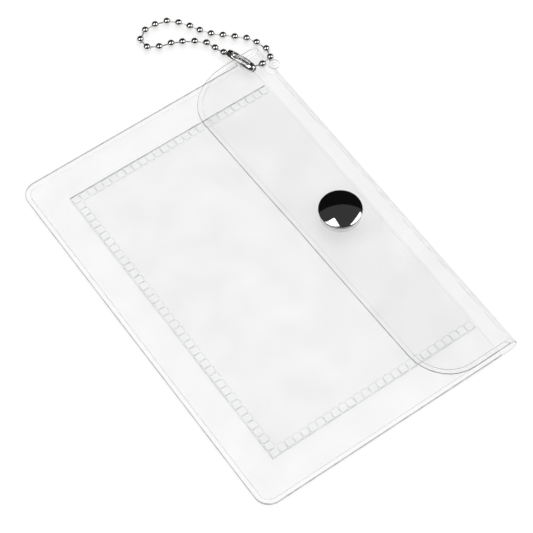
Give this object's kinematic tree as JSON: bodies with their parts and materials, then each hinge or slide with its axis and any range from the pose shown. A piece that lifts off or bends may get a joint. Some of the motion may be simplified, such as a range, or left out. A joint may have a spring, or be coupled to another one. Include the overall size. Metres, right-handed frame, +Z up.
{
  "type": "clear snap pouch",
  "caption": "Clear vinyl pouch with an inner card pocket, a fold-over flap held by a metal snap, and a ball chain through the fold.",
  "frame": {"origin": "middle of the pouch, on the surface that its back lies on", "axes": "+X along the fold, +Y from the bottom edge to the fold, +Z up through the snap cap"},
  "size_m": [0.1472, 0.0857, 0.0067],
  "materials": {
    "clear_vinyl": "clear gloss film",
    "vinyl_weld": "clear pressed weld",
    "cap_chrome": "polished",
    "snap_steel": "nickel plated",
    "chain_nickel": "nickel plated"
  },
  "bodies": {
    "root": {"back_panel": "clear_vinyl", "fold_lower": "clear_vinyl", "fold_upper": "clear_vinyl", "front_panel": "clear_vinyl", "weld_far": "vinyl_weld", "weld_near": "vinyl_weld", "weld_bottom": "vinyl_weld", "card_pocket": "clear_vinyl", "pocket_weld_far": "vinyl_weld", "pocket_weld_near": "vinyl_weld", "pocket_weld_bottom": "vinyl_weld", "hang_tab": "clear_vinyl", "snap_stud": "snap_steel", "stud_eyelet": "snap_steel"},
    "flap": {"flap_panel": "clear_vinyl", "flap_border": "vinyl_weld", "snap_cap": "cap_chrome", "cap_post": "snap_steel", "snap_socket": "snap_steel", "socket_spring": "snap_steel"},
    "chain": {"chain_beads": "chain_nickel", "chain_pins": "chain_nickel", "coupling": "chain_nickel", "coupling_beads": "chain_nickel"}
  },
  "joints": [
    {"name": "flap_hinge", "type": "hinge", "parent": "root", "child": "flap", "pos_m": [0, 0.0388, 0.0044], "axis": [-1, 0, 0], "range_deg": [0, 180]},
    {"name": "chain_swing", "type": "hinge", "parent": "root", "child": "chain", "pos_m": [-0.0532, 0.0424, 0.0022], "axis": [0, 0, 1], "range_deg": [-8, 5]}
  ]
}
